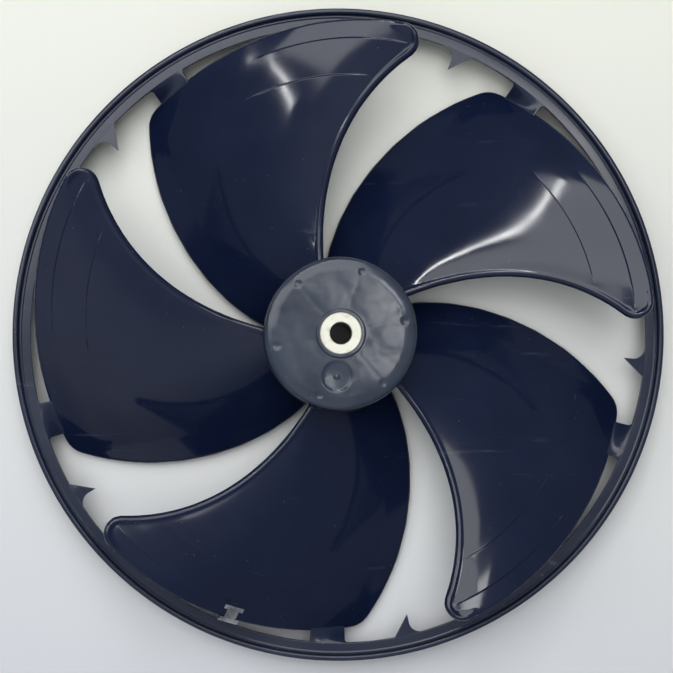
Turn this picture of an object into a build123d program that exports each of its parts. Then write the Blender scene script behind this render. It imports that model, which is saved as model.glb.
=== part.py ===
from build123d import *
import os
from math import atan2, cos, degrees, hypot, pi, radians, sin

# Ringed axial fan impeller. Millimetres, +Z up along the shaft axis. The origin lies on the axis in
# the plane of the ring's lower edge, which is the plane the impeller rests on. The closed hub face
# and the leading edges are up: the fan turns clockwise seen from above and blows downwards.

# ---- ring: an outer wall with a beaded rim and a thin inward flange ----
ring_diameter = 400.0
ring_height = 24.0          # rest plane to the flange's upper face
ring_wall = 2.0
rim_width = 3.6
rim_rise = 2.4              # how far the rim's bead stands above the flange
flange_width = 11.0         # from the ring's outer face inwards
flange_thickness = 2.4

# ---- blades ----
blade_count = 5
tip_clearance = 7.0         # open slot between the flange and the blade tips
blade_skin = 2.4            # thickness in the outermost band
band_step = 0.5             # each band nearer the hub is thicker by this
outer_band_inset = 11.0     # the two circles where the thickness steps, inwards from the tip
inner_band_inset = 31.5
edge_bead_radius = 2.2      # bead along the leading edge
edge_bead_inset = 1.5       # its middle line, inwards from the leading edge
camber = 13.0               # rise of the tip's section above its chord
camber_forward = 0.8        # how far the highest point is moved towards the leading edge
edge_roll = 2.6             # extra drop of the trailing edge's rolled border
edge_roll_share = 0.2       # share of the chord that the rolled border takes
edge_margin = 0.15          # share of the chord by which the curve runs on past each edge
net_margin = 7.0            # how far the blade's surface runs on past the tip and into the hub
leading_corner = 10.0       # corner radii in plan
trailing_corner = 14.0

# Edge stations: share of the span from hub to tip, leading angle, leading height, trailing angle,
# trailing height.
root_station = (0.0, 29.8, 46.0, 98.5, 9.0)
inner_station = (0.389, 20.6, 50.0, 81.0, 6.0)
middle_station = (0.753, 8.9, 63.0, 67.5, 5.5)
tip_station = (1.0, -2.0, 72.5, 58.4, 6.0)
stations = (root_station, inner_station, middle_station, tip_station)

# ---- bridge tabs and hook fins on the flange ----
tab_start = 48.5            # angles in the blade's own frame
tab_end = 55.2
tab_depth = 4.0
tab_root = 3.0              # how far a tab runs into the flange, and into the blade
tab_overlap = 1.5
hook_root_angle = 64.4
hook_tip_angle = 67.85
hook_length = 12.5
hook_root_end = 70.4
hook_straight = 5.5

# ---- hub cup ----
hub_diameter = 89.0
hub_rise = 74.0             # rest plane to the hub's closed face
hub_bottom = 5.0
hub_wall = 2.6
hub_face_thickness = 3.0
hub_shoulder = 3.5
collar_wall = 2.1           # plastic round the bush, above the hub face
collar_rise = 1.2
boss_wall = 4.6             # plastic round the bush, inside the cup
boss_depth = 22.0
rib_count = 6
rib_thickness = 2.2
rib_start_angle = 11.0
rib_drop_inner = 34.0       # depth of a rib below the hub face, at the boss and at the wall
rib_drop_outer = 20.0
dimple_diameter = 5.0
dimple_depth = 0.35
dimple_inset = 7.0          # inwards from the hub's outer face
gate_dish_diameter = 18.8
gate_dish_depth = 0.9
gate_dish_gap = 1.4         # outwards from the collar
gate_dish_angle = 265.0
gate_stub_diameter = 3.0
gate_stub_height = 0.8
weld = 1.0                  # how far a rib, boss or fin runs into what carries it

# ---- bush and grub screw ----
bore_diameter = 12.7
bore_chamfer = 0.45
bush_diameter = 24.0
bush_length = 42.0
bush_proud = 0.9            # above the plastic collar
bush_groove_width = 4.0
bush_groove_depth = 1.0
screw_diameter = 6.0
screw_length = 10.0
screw_bore_gap = 0.3        # the screw's tip stays this far outside the bore
screw_clearance = 0.05      # radial, to the plain hole that stands for the thread
screw_drop = 34.0           # below the bush's upper face
screw_socket = 3.0          # across flats
screw_socket_depth = 3.5
tool_hole_diameter = 8.0

# ---- balance clip ----
clip_blade = 3
clip_angle = 32.4           # in that blade's own frame
clip_sheet = 0.6
clip_web = 7.4
clip_ears = 12.2
clip_ear_depth = 2.6
clip_reach = 9.0            # inwards from the blade's tip
clip_foot = 1.0             # full-width strip left along the tip's edge
clip_bend_gap = 0.4         # between the tip's edge and the start of the bend
clip_clearance = 0.25

# ---- values worked out from the ones above ----
ring_radius = ring_diameter / 2
flange_inner = ring_radius - flange_width
tip_radius = flange_inner - tip_clearance
outer_band_radius = tip_radius - outer_band_inset
inner_band_radius = tip_radius - inner_band_inset
hub_radius = hub_diameter / 2
wall_middle = hub_radius - hub_wall / 2
bush_radius = bush_diameter / 2
bush_top = hub_rise + collar_rise + bush_proud
screw_height = bush_top - screw_drop
screw_angle = rib_start_angle + 3.5 * 360 / rib_count    # midway between two ribs
pitch = 360 / blade_count


def polar(radius, angle, height=0.0):
    return Vector(radius * cos(radians(angle)), radius * sin(radians(angle)), height)


def through_stations(column, radius):
    """One column of the edge stations at any radius, as the cubic through the four stations."""
    share = (radius - hub_radius) / (tip_radius - hub_radius)
    total = 0.0
    for station in stations:
        weight = 1.0
        for other in stations:
            if other is not station:
                weight *= (share - other[0]) / (station[0] - other[0])
        total += weight * station[column]
    return total


def blade_height(radius, share):
    """Height of the blade's underside at a share of the chord, 0 leading and 1 trailing. Past both
    edges it runs on straight for a margin, so that the surface trimmed there has no ripples."""
    share = min(max(share, -edge_margin), 1 + edge_margin)
    leading = through_stations(2, radius)
    trailing = through_stations(4, radius)
    chord_angle = through_stations(3, radius) - through_stations(1, radius)
    tip_angle = tip_station[3] - tip_station[1]
    size = radius * chord_angle / (tip_radius * tip_angle)
    near = min(max(share, 0.0), 1.0)
    lean = 1 + camber_forward * (0.5 - near)
    bow = 4 * near * (1 - near) * lean + 4 * (1 - 2 * near) * lean * (share - near)
    rolled = max(0.0, share - 1 + edge_roll_share) / edge_roll_share
    roll = rolled**2 if rolled < 1 else 2 * rolled - 1
    return leading + (trailing - leading) * share + camber * size * bow - edge_roll * roll


def share_at(radius, angle):
    """Share of the chord at an angle in the blade's own frame."""
    leading = through_stations(1, radius)
    return (angle - leading) / (through_stations(3, radius) - leading)


def blade_point(radius, angle):
    return polar(radius, angle, blade_height(radius, share_at(radius, angle)))


def blade_underside():
    """The twisted surface on a net of points square to the tip's chord, larger than the blade."""
    rows, columns = 9, 17
    tip_half_angle = radians(tip_station[3] - tip_station[1]) / 2
    middle_angle = radians(tip_station[3] + tip_station[1]) / 2
    half_width = tip_radius * sin(tip_half_angle) + 2 * net_margin
    nearest = hub_radius / 5
    farthest = tip_radius + net_margin
    grid = []
    for k in range(rows):
        along = nearest + (farthest - nearest) * k / (rows - 1)
        row = []
        for j in range(columns):
            across = half_width * (2 * j / (columns - 1) - 1)
            distance = hypot(along, across)
            angle = degrees(middle_angle + atan2(across, along))
            height = blade_point(max(distance, hub_radius - net_margin), angle).Z
            row.append(polar(distance, angle, height))
        grid.append(row)
    return Face.make_surface_from_array_of_points(grid, tol=0.1, min_deg=3, max_deg=3)


def blade_outline():
    """Plan view of the blade: two swept edges, the tip's arc, and rounded corners at the tip."""
    radii = [wall_middle + (tip_radius - wall_middle) * k / 5 for k in range(6)]
    leading = [polar(radius, through_stations(1, radius)) for radius in radii]
    trailing = [polar(radius, through_stations(3, radius)) for radius in radii]
    middle_angle = (tip_station[1] + tip_station[3]) / 2
    root_angle = (root_station[1] + root_station[3]) / 2
    edges = [
        Spline(*leading),
        ThreePointArc(leading[-1], polar(tip_radius, middle_angle), trailing[-1]),
        Spline(*reversed(trailing)),
        ThreePointArc(trailing[0], polar(wall_middle, root_angle), leading[0]),
    ]
    plan = Face(Wire(edges))
    for corner, radius in ((leading[-1], leading_corner), (trailing[-1], trailing_corner)):
        plan = plan.fillet_2d(radius, plan.vertices().sort_by_distance(corner)[:1])
    return plan


def blade_band(plan, underside, inner, outer, thickness):
    """The part of the blade between two circles, at its own thickness."""
    height = 2 * hub_rise
    zone = Circle(outer)
    if inner > 0:
        zone -= Circle(inner)
    column = extrude(plan, height, dir=(0, 0, 1)) & extrude(zone, height)
    return column & Solid.thicken(underside, thickness, normal_override=(0, 0, 1))


def leading_bead():
    """Eight-sided bead along the leading edge, from inside the hub wall to the tip's corner."""
    outside = tip_radius - leading_corner
    radii = [wall_middle + (outside - wall_middle) * k / 6 for k in range(7)]
    lift = Vector(0, 0, (blade_skin + band_step) / 2)
    points = []
    for radius in radii:
        angle = through_stations(1, radius) + degrees(edge_bead_inset / radius)
        points.append(blade_point(radius, angle) + lift)
    path = Spline(*points)
    section = Plane(path @ 0, z_dir=path % 0) * RegularPolygon(edge_bead_radius, 8)
    return sweep(section, path)


def blade():
    underside = blade_underside()
    plan = blade_outline()
    edges = (0.0, inner_band_radius, outer_band_radius, tip_radius + 1)
    solid = leading_bead()
    for k in range(3):
        thickness = blade_skin + band_step * (2 - k)
        solid += blade_band(plan, underside, edges[k], edges[k + 1], thickness)
    return solid


def bridge_tab():
    """Bridge from the flange down to the blade's tip, lofted between two radial sections."""
    top = ring_height
    meet = tip_radius - tab_overlap
    sections = []
    for angle in (tab_start, tab_end):
        height = blade_point(tip_radius, angle).Z + blade_skin
        outline = Polyline(
            polar(flange_inner + tab_root, angle, top),
            polar(flange_inner, angle, top),
            polar(meet, angle, height),
            polar(meet, angle, height - tab_depth),
            polar(flange_inner, angle, top - tab_depth),
            polar(flange_inner + tab_root, angle, top - tab_depth),
            close=True,
        )
        sections.append(Face(Wire(outline.edges())))
    return loft(sections, ruled=True)


def hook_fin():
    """Claw on the flange's inner edge: one straight flank, and one that curves back to the ring."""
    root = flange_inner + weld
    tip = flange_inner - hook_length
    start = polar(root, hook_root_angle)
    point = polar(tip, hook_tip_angle)
    bend = polar(tip + hook_straight, hook_tip_angle)
    away = polar(1.0, hook_tip_angle)
    flank_end = polar(flange_inner, hook_root_end)
    edges = [
        Line(start, point),
        Line(point, bend),
        TangentArc(bend, flank_end, tangent=away),
        Line(flank_end, polar(root, hook_root_end)),
        ThreePointArc(
            polar(root, hook_root_end), polar(root, (hook_root_angle + hook_root_end) / 2), start
        ),
    ]
    plan = Face(Wire(edges))
    return Pos(0, 0, ring_height - flange_thickness) * extrude(plan, flange_thickness, dir=(0, 0, 1))


def ring():
    """Outer wall, beaded rim and flange, turned from one section."""
    top = ring_height + rim_rise
    inner_wall = ring_radius - ring_wall
    rim_inner = ring_radius - rim_width
    bottom = ring_height - flange_thickness
    bevel = rim_width / 4
    outline = Polyline(
        (ring_radius, 0),
        (ring_radius, top - bevel),
        (ring_radius - bevel, top),
        (rim_inner + bevel, top),
        (rim_inner, top - bevel),
        (rim_inner, ring_height),
        (flange_inner, ring_height),
        (flange_inner, bottom),
        (inner_wall, bottom),
        (inner_wall, 0),
        close=True,
    )
    return revolve(Plane.XZ * Face(Wire(outline.edges())), Axis.Z)


def hub_rib(angle):
    """Web under the hub face, from the boss to the cup's wall, with a sloping lower edge."""
    inner = bush_radius + boss_wall - weld
    outer = wall_middle
    top = hub_rise - weld
    outline = Polyline(
        (inner, top),
        (outer, top),
        (outer, hub_rise - rib_drop_outer),
        (inner, hub_rise - rib_drop_inner),
        close=True,
    )
    web = extrude(Plane.XZ * Face(Wire(outline.edges())), rib_thickness / 2, both=True)
    return Rot(0, 0, angle) * web


def hub_cup():
    """Cup with its closed face up, turned from one section; three bevels round its shoulder."""
    inside = hub_radius - hub_wall
    under_face = hub_rise - hub_face_thickness
    across, up = hub_radius - hub_shoulder, hub_rise - hub_shoulder
    shoulder = [
        (across + hub_shoulder * cos(k * pi / 6), up + hub_shoulder * sin(k * pi / 6)) for k in range(4)
    ]
    outline = Polyline(
        (0, under_face),
        (inside, under_face),
        (inside, hub_bottom),
        (hub_radius, hub_bottom),
        *shoulder,
        (0, hub_rise),
        close=True,
    )
    return revolve(Plane.XZ * Face(Wire(outline.edges())), Axis.Z)


def hub():
    """The cup, a boss and a collar round the bush, and the ribs inside."""
    boss_bottom = hub_rise - hub_face_thickness - boss_depth
    boss = Pos(0, 0, boss_bottom) * extrude(Circle(bush_radius + boss_wall), boss_depth + weld)
    collar_bottom = hub_rise - weld
    collar = extrude(Circle(bush_radius + collar_wall), collar_rise + weld)
    collar = chamfer(collar.edges().sort_by(Axis.Z)[-1:], collar_rise / 2)
    solid = hub_cup() + boss + Pos(0, 0, collar_bottom) * collar
    for k in range(rib_count):
        solid += hub_rib(rib_start_angle + k * 360 / rib_count)
    return solid


def hub_marks():
    """What is sunk into the hub face: ejector dimples above the ribs and the gate's dish."""
    marks = []
    for k in range(rib_count):
        spot = polar(hub_radius - dimple_inset, rib_start_angle + k * 360 / rib_count, hub_rise)
        marks.append(Pos(spot) * Cylinder(dimple_diameter / 2, 2 * dimple_depth))
    distance = bush_radius + collar_wall + gate_dish_gap + gate_dish_diameter / 2
    floor = hub_rise - gate_dish_depth
    dish_radius = ((gate_dish_diameter / 2) ** 2 + gate_dish_depth**2) / (2 * gate_dish_depth)
    dish = Pos(polar(distance, gate_dish_angle, floor + dish_radius)) * Sphere(dish_radius)
    mouth = Pos(polar(distance, gate_dish_angle, hub_rise))
    dish &= mouth * Cylinder(gate_dish_diameter / 2, 2 * gate_dish_depth)
    stub = Pos(polar(distance, gate_dish_angle, floor))
    marks.append(dish - stub * Cylinder(gate_stub_diameter / 2, 2 * gate_stub_height))
    return marks


def bush_blank():
    """The turned insert without its bore; its waist is a groove that keys it into the plastic."""
    body = Pos(0, 0, bush_top - bush_length) * extrude(Circle(bush_radius), bush_length)
    groove = Cylinder(bush_radius + weld, bush_groove_width)
    groove -= Cylinder(bush_radius - bush_groove_depth, bush_groove_width)
    return body - Pos(0, 0, hub_rise - boss_depth / 2) * groove


def radial_cylinder(radius, start, end):
    """Cylinder across the axis at the grub screw's height and angle, between two distances."""
    along = Plane(polar(start, screw_angle, screw_height), z_dir=polar(1.0, screw_angle))
    return extrude(along * Circle(radius), end - start)


def impeller():
    """The whole plastic moulding, with its seat for the bush and the hole for the screw's key."""
    unit = blade() + bridge_tab() + hook_fin()
    moulding = ring() + hub()
    moulding += [Rot(0, 0, k * pitch) * unit for k in range(blade_count)]
    moulding -= bush_blank()
    moulding -= hub_marks()
    moulding -= radial_cylinder(tool_hole_diameter / 2, hub_radius - 2 * hub_wall, hub_radius + hub_wall)
    return moulding


def hub_bush():
    """The turned insert with its bore, chamfered at both ends, and the screw's cross hole."""
    bush = bush_blank()
    ends = bush.edges().filter_by(GeomType.CIRCLE).sort_by(Axis.Z)
    bush = chamfer([ends[0], ends[-1]], bore_chamfer)
    bush -= Pos(0, 0, bush_top - bush_length) * extrude(Circle(bore_diameter / 2), bush_length)
    circles = bush.edges().filter_by(GeomType.CIRCLE)
    bush = chamfer([rim for rim in circles if rim.radius < bush_radius / 2 + bore_diameter / 4], bore_chamfer)
    hole = screw_diameter / 2 + screw_clearance
    return bush - radial_cylinder(hole, bore_diameter / 4, bush_radius + weld)


def set_screw():
    """Grub screw with a hexagon socket in its outer end."""
    start = bore_diameter / 2 + screw_bore_gap
    screw = radial_cylinder(screw_diameter / 2, start, start + screw_length)
    end = Plane(polar(start + screw_length, screw_angle, screw_height), z_dir=polar(1.0, screw_angle))
    across_corners = screw_socket / cos(pi / 6)
    socket = extrude(end * RegularPolygon(across_corners / 2, 6), -screw_socket_depth)
    return screw - socket


def balance_clip():
    """Folded sheet clip that grips the blade's tip edge; both legs are I-shaped."""
    angle = clip_angle
    edge = tip_radius
    mid = tip_radius - clip_reach / 2
    here = blade_point(mid, angle)
    out = (blade_point(edge, angle) - here).normalized()
    across = (blade_point(mid, angle + 1) - here).normalized()
    normal = out.cross(across).normalized()
    inside = blade_skin / 2 + clip_clearance
    outside = inside + clip_sheet
    mid_plane = Plane(here + normal * (blade_skin / 2), x_dir=out, z_dir=across)
    reach = clip_reach / 2
    bend = reach + clip_bend_gap
    outline = [
        Polyline((bend, outside), (-reach, outside), (-reach, inside), (bend, inside)),
        ThreePointArc((bend, inside), (bend + inside, 0), (bend, -inside)),
        Polyline((bend, -inside), (-reach, -inside), (-reach, -outside), (bend, -outside)),
        ThreePointArc((bend, -outside), (bend + outside, 0), (bend, outside)),
    ]
    section = Face(Wire([e for piece in outline for e in piece.edges()]))
    clip = extrude(mid_plane * section, clip_ears / 2, both=True)
    waist = clip_reach - clip_ear_depth - clip_foot
    side = (clip_ears - clip_web) / 2
    for way in (-1, 1):
        notch = Box(waist, 4 * outside, side)
        offset = way * (clip_web + side) / 2
        clip -= mid_plane * Pos(-reach + clip_ear_depth + waist / 2, 0, offset) * notch
    return Rot(0, 0, clip_blade * pitch) * clip


def write(name, shape):
    shape.label = name
    export_step(shape, os.path.join("parts", name + ".step"))


os.makedirs("parts", exist_ok=True)
write("impeller", impeller())
write("hub_bush", hub_bush())
write("set_screw", set_screw())
write("balance_clip", balance_clip())
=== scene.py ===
from math import acos, atan2, cos, degrees, pi, radians, sin, sqrt

import bmesh
import bpy
import numpy as np
from mathutils import Matrix, Vector


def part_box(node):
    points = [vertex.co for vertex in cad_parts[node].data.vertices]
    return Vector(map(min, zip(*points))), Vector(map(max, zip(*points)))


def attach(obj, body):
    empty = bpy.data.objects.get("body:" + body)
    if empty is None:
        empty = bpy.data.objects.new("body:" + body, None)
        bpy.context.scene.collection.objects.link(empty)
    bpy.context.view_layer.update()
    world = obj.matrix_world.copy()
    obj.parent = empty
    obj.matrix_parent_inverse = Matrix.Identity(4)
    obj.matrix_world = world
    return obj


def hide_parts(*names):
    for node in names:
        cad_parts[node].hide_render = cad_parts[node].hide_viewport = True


# Ringed axial fan impeller lying on a table, closed hub face up. Shapes are worked out in
# millimetres and become metres when a mesh is made. The angles of a blade, tab or fin are in that
# blade's own frame; the copies stand one pitch apart round the shaft axis.

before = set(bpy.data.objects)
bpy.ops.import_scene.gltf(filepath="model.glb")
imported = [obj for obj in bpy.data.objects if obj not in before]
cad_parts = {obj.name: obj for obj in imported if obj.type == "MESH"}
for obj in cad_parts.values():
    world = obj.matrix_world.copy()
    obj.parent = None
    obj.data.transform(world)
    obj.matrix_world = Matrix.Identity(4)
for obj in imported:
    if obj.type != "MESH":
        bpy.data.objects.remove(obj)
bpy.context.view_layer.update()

MM = 0.001

# ---- sizes read from the frame ----
RING_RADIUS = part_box("impeller")[1].x / MM
BUSH_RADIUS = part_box("hub_bush")[1].x / MM

# ---- ring ----
RING_HEIGHT = 24.0
RING_WALL = 2.0
RIM_WIDTH = 3.6
RIM_RISE = 2.4
GROOVE_WIDTH = 0.7
GROOVE_DEPTH = 1.0
LIP_WIDTH = 1.5
LIP_RISE = 0.35
FLANGE_INNER = RING_RADIUS - 11.0
FLANGE_THICKNESS = 2.4
RING_SEGMENTS = 540

# ---- blades ----
BLADE_COUNT = 5
TIP_RADIUS = FLANGE_INNER - 7.0
HUB_RADIUS = 44.5
BLADE_SKIN = 2.4
BAND_STEP = 0.5
BAND_INSETS = (11.0, 31.5)          # from the tip to the two circles where the thickness steps
BAND_EDGE = 0.7                     # width of a step
BAND_RAMP = 18.0                    # width that a step fades out to
BAND_TILT = 0.02                    # slope that lifts the outer side of each stepped band
BEAD_RADIUS = 2.2
BEAD_FADE = 12.0                    # length along the tip over which the bead dies away
BAND_RUN = (0.04, 0.46)             # shares of the chord where the steps turn crisp and soft again
BAND_RUN_FADES = (0.12, 0.1)
EDGE_BLEND = 0.3                    # softness of the line between bead and plate
EDGE_BLEND_WIDTH = 0.6
CAMBER = 13.0
CAMBER_FORWARD = 0.8
CREASE_ENDS = ((-5.0, 57.0), (90.0, 152.0))  # straight crease near the trailing edge, in plan
LIP_SLOPE = 0.08                    # how much flatter the blade is beyond its crease
LIP_SOFTNESS = 0.5
FALL_WIDTH = 60.0                   # width over which the blade falls away to the trailing edge
FALL_DROP = 2.2
LEADING_CORNER = 10.0
TRAILING_CORNER = 14.0
ROOT_FILLET = 2.2
# share of the span, leading angle, leading height, trailing angle, trailing height
STATIONS = (
    (0.0, 29.8, 46.0, 98.5, 9.0),
    (0.389, 20.6, 50.0, 81.0, 6.0),
    (0.753, 8.9, 63.0, 67.5, 5.5),
    (1.0, -2.0, 72.5, 58.4, 6.0),
)
LEADING_ANGLE, LEADING_HEIGHT, TRAILING_ANGLE, TRAILING_HEIGHT = 1, 2, 3, 4

# ---- bridge tabs and hook fins ----
TAB_ANGLES = (48.5, 55.2)
TAB_DEPTH = 3.2
TAB_FILLET = 1.8
TAB_TAPER = 0.3                     # share of its depth that a tab loses towards the flange
TAB_INTO_BLADE = 1.6
TAB_INTO_FLANGE = 1.2
TAB_SIDE_ROUND = 0.6
TAB_BELOW_BLADE = 0.2
TAB_BELOW_FLANGE = 0.03
HOOK_ROOT_ANGLE = 64.4
HOOK_TIP_ANGLE = 67.85
HOOK_ROOT_END = 70.4
HOOK_LENGTH = 12.5
HOOK_STRAIGHT = 5.5

# ---- hub ----
HUB_RISE = 74.0
HUB_BOTTOM = 5.0
HUB_WALL = 2.6
HUB_FACE = 3.0
HUB_SHOULDER = 3.6
CROWN_START = 38.2                  # the face falls away gently outside this radius
CROWN_DROP = 1.0
CROWN_RADIUS = 26.0
COLLAR_WALL = 2.1
COLLAR_RISE = 1.2
BOSS_WALL = 4.6
BOSS_DEPTH = 22.0
HUB_SEGMENTS = 360
RIB_COUNT = 6
RIB_START = 11.0
RIB_THICKNESS = 2.2
RIB_DROPS = (34.0, 20.0)            # below the hub face, at the boss and at the wall
DIMPLE_RADIUS = 2.5
DIMPLE_DEPTH = 0.5
DIMPLE_INSET = 7.0
SINK_DEPTH = 0.035
SINK_WIDTH = 1.6
SINK_RUN = (13.0, 34.0)             # radii between which a sink line shows
SINK_FADE = 4.0
DISH_RADIUS = 9.4
DISH_DEPTH = 0.6
DISH_BOWL = 0.5
DISH_EDGE = 2.0
DISH_DISTANCE = 24.9
DISH_ANGLE = 265.0
STUB_RADIUS = 1.5
STUB_HEIGHT = 0.8
STUB_EDGE = 0.8
TOOL_HOLE_RADIUS = 4.0
TOOL_HOLE_HEIGHT = 42.1
TOOL_HOLE_ANGLE = RIB_START + 3.5 * 360 / RIB_COUNT
TOOL_HOLE_SIDES = 48
CUTTER_LENGTH = 10.0

# ---- camera ----
CAMERA_PLACE = (-18.6, -34.4, 825.2)
CAMERA_TILT = (0.028725, 0.009593)  # radians about X, then about Y
CAMERA_LENS = 69.6
CAMERA_SHIFT = (0.0229, 0.1396)
SENSOR_WIDTH = 36.0

# ---- table and lamps ----
TABLE_HALF = 6000.0
# name, place, size, power; these two light the object and stay out of its gloss
SOFT_LAMPS = (
    ("soft_key", (0.25, 0.6, 1.9), (1.2, 1.2), 7.5),
    ("soft_fill", (-0.1, -0.2, 1.9), (1.1, 1.1), 9.0),
)
# name, place, size, power, turn in degrees; these show as streaks and patches in the gloss
GLOSS_LAMPS = (
    ("ceiling_tube", (-0.27, 1.72, 1.8), (0.028, 1.85), 9.0, -15.7),
    ("ceiling_panel", (0.165, 1.58, 1.81), (0.75, 2.7), 16.5, -15.7),
    ("side_tube", (-2.0, 0.82, 1.8), (0.03, 2.3), 7.0, 49.0),
    ("side_panel", (-1.15, 0.72, 1.81), (0.6, 1.5), 8.0, 52.0),
    ("small_panel", (-0.42, 0.32, 1.81), (0.36, 0.36), 0.9, 0.0),
    ("near_panel", (0.16, 0.09, 1.8), (0.1, 0.16), 0.5, 0.0),
    ("near_lamp", (0.38, 0.34, 1.8), (0.26, 0.2), 1.3, 0.0),
)
CEILING_DIM = (0.17, 0.18, 0.2, 1)
CEILING_BRIGHT = (0.32, 0.33, 0.35, 1)
WALL_DARK = (0.09, 0.09, 0.1, 1)
GLOW_COLOUR = (0.35, 0.36, 0.38, 1)
GLOW_HEADING = 245.0
GLOW_HEIGHT = 44.0
GLOW_SPREAD = 38.0

# ---- colours ----
NAVY_DEEP = (0.0015, 0.005, 0.0235, 1)
NAVY_LIGHT = (0.0025, 0.0068, 0.0285, 1)
NAVY_RUBBED = (0.03, 0.038, 0.075, 1)
PLASTIC_HAZE = (0.2, 0.26, 0.32, 1)
HUB_HAZE = (0.22, 0.28, 0.31, 1)
DUST_GREY = (0.3, 0.3, 0.29, 1)
MACHINED_PALE = (0.7, 0.7, 0.6, 1)
MACHINED_DULL = (0.52, 0.5, 0.42, 1)
# painted shade: near black for the wall inside the bush's bore, where shade falls
BORE_PAINTED_SHADE = (0.02, 0.02, 0.02, 1)
STEEL_RUBBED = (0.7, 0.7, 0.7, 1)
SCREW_BRIGHT = (0.12, 0.12, 0.13, 1)
SCREW_DULL = (0.05, 0.05, 0.055, 1)
CLIP_BRIGHT = (0.24, 0.27, 0.31, 1)
CLIP_DULL = (0.13, 0.15, 0.18, 1)
# painted shade and painted light of the table top: its colour at -Y and at +Y
PAPER_PAINTED_SHADE = (0.59, 0.605, 0.645, 1)
PAPER_PAINTED_LIGHT = (0.72, 0.73, 0.655, 1)
PLASTIC_IOR = 1.49
BORE_SHADE_RADII = (6.45, 6.3)        # the painted shade of the bore fades in between these


# ================= meshes =================

def make_piece(name, points, faces, smooth=True):
    """A mesh object from points in millimetres."""
    mesh = bpy.data.meshes.new(name)
    mesh.from_pydata([tuple(p) for p in np.asarray(points, float) * MM], [], faces)
    mesh.validate()
    mesh.update()
    for polygon in mesh.polygons:
        polygon.use_smooth = smooth
    piece = bpy.data.objects.new(name, mesh)
    bpy.context.scene.collection.objects.link(piece)
    return piece


def settle(piece):
    """Turns a piece with its modifiers into a plain mesh."""
    evaluated = piece.evaluated_get(bpy.context.evaluated_depsgraph_get())
    mesh = bpy.data.meshes.new_from_object(evaluated)
    piece.modifiers.clear()
    piece.data = mesh
    mesh.name = piece.name
    return piece


def weld_doubles(piece, distance=0.0005):
    """Merges points closer than a distance in millimetres."""
    modifier = piece.modifiers.new("weld", "WELD")
    modifier.merge_threshold = distance * MM
    return settle(piece)


def face_outwards(piece):
    """Turns every face of a closed piece outwards."""
    shape = bmesh.new()
    shape.from_mesh(piece.data)
    bmesh.ops.recalc_face_normals(shape, faces=shape.faces)
    shape.to_mesh(piece.data)
    shape.free()
    return piece


def grid_faces(rows, columns, start=0, flip=False, wrap=False):
    """Quads of a grid of points in row order; wrap joins the last column to the first."""
    faces = []
    for i in range(rows - 1):
        for j in range(columns if wrap else columns - 1):
            k = (j + 1) % columns
            quad = [i * columns + j, (i + 1) * columns + j, (i + 1) * columns + k, i * columns + k]
            faces.append([start + v for v in (reversed(quad) if flip else quad)])
    return faces


def polar(radius, angle):
    return np.array([radius * cos(radians(angle)), radius * sin(radians(angle))])


def round_corners(corners, steps=6):
    """Closed outline through (x, y, corner radius), with each corner as an arc."""
    outline = []
    for k, (x, y, radius) in enumerate(corners):
        here = np.array([x, y])
        before = np.array(corners[k - 1][:2]) - here
        after = np.array(corners[(k + 1) % len(corners)][:2]) - here
        before /= np.linalg.norm(before)
        after /= np.linalg.norm(after)
        half = acos(max(-1.0, min(1.0, float(before @ after)))) / 2
        if radius == 0 or half > pi / 2 - 0.01:
            outline.append(here)
            continue
        middle = (before + after) / np.linalg.norm(before + after)
        centre = here + middle * radius / sin(half)
        first = here + before * radius * cos(half) / sin(half) - centre
        last = here + after * radius * cos(half) / sin(half) - centre
        start = atan2(first[1], first[0])
        turn = (atan2(last[1], last[0]) - start + pi) % (2 * pi) - pi
        for s in range(steps + 1):
            angle = start + turn * s / steps
            outline.append(centre + radius * np.array([cos(angle), sin(angle)]))
    return outline


def fill_run(outline, low, high, height, step):
    """Adds points along the flat run at a height, between two radii, no further apart than step."""
    filled = []
    for k, here in enumerate(outline):
        after = outline[(k + 1) % len(outline)]
        filled.append(here)
        flat = abs(here[1] - height) < 0.001 and abs(after[1] - height) < 0.001
        if flat and min(here[0], after[0]) > low and max(here[0], after[0]) < high:
            count = int(abs(after[0] - here[0]) / step)
            for s in range(1, count):
                filled.append(here + (after - here) * s / count)
    return filled


def lathe_points(outline, segments):
    """Points of an outline of (radius, height) turned about the axis, one row for each segment."""
    outline = np.array(outline)
    turns = np.arange(segments) * 2 * pi / segments
    x = np.cos(turns)[:, None] * outline[None, :, 0]
    y = np.sin(turns)[:, None] * outline[None, :, 0]
    z = np.repeat(outline[None, :, 1], segments, axis=0)
    return np.stack([x, y, z], -1)


def lathe_piece(name, points):
    """Closed skin over rows of a lathe; the outline runs anticlockwise in (radius, height)."""
    segments, columns = points.shape[:2]
    closed = np.concatenate([points, points[:1]])
    faces = grid_faces(segments + 1, columns, wrap=True, flip=True)
    piece = make_piece(name, closed.reshape(-1, 3), faces)
    return face_outwards(weld_doubles(piece))


def smooth_step(value):
    value = np.clip(value, 0.0, 1.0)
    return value * value * (3 - 2 * value)


# ================= copies round the axis =================

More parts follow.
